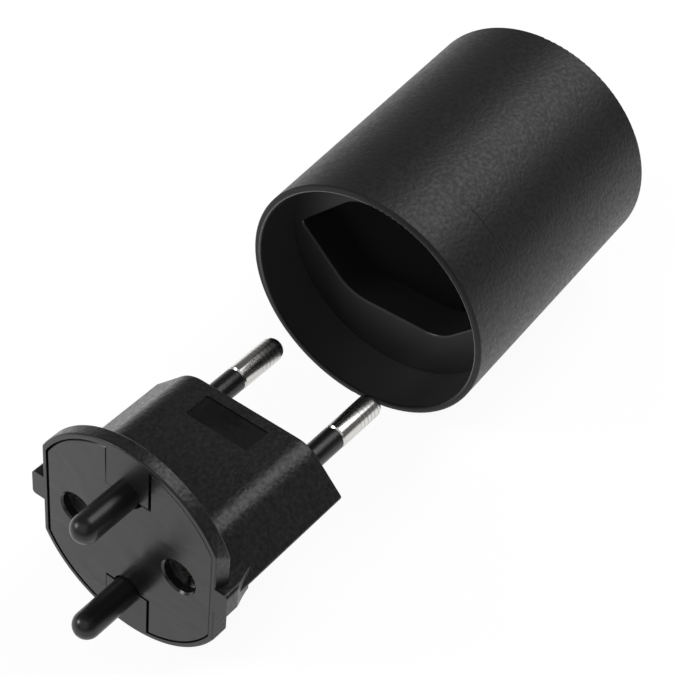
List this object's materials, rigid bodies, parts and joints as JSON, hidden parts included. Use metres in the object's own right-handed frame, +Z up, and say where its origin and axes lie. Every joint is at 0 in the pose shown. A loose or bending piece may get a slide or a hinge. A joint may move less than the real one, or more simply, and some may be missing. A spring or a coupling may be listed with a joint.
{
  "type": "plug adapter",
  "caption": "Plug adapter in two pieces: a round sleeve with a closed end and a hexagonal passage, and an insert with sockets and key posts on its face and pins on its flat nose.",
  "frame": {"origin": "on the surface that both pieces rest on, under the middle of the whole layout", "axes": "+Z up; +Y along the sleeve's axis, from its mouth to its closed end; the insert lies on the -Y side with its pins towards +Y"},
  "size_m": [0.043, 0.1186, 0.043],
  "materials": {
    "sleeve": "satin black, fine grain",
    "plug_body": "satin black, fine grain",
    "face_plate": "smooth semi-gloss black",
    "contact_metal": "nickel plated",
    "pin_metal": "bright nickel plated",
    "pin_insulation": "gloss black"
  },
  "bodies": {
    "root": {"sleeve": "sleeve", "plug_body": "plug_body", "face_plate": "face_plate", "contact_socket_left": "contact_metal", "contact_socket_right": "contact_metal", "contact_pin_left": "pin_metal", "contact_pin_right": "pin_metal", "pin_insulation_left": "pin_insulation", "pin_insulation_right": "pin_insulation"}
  },
  "joints": []
}
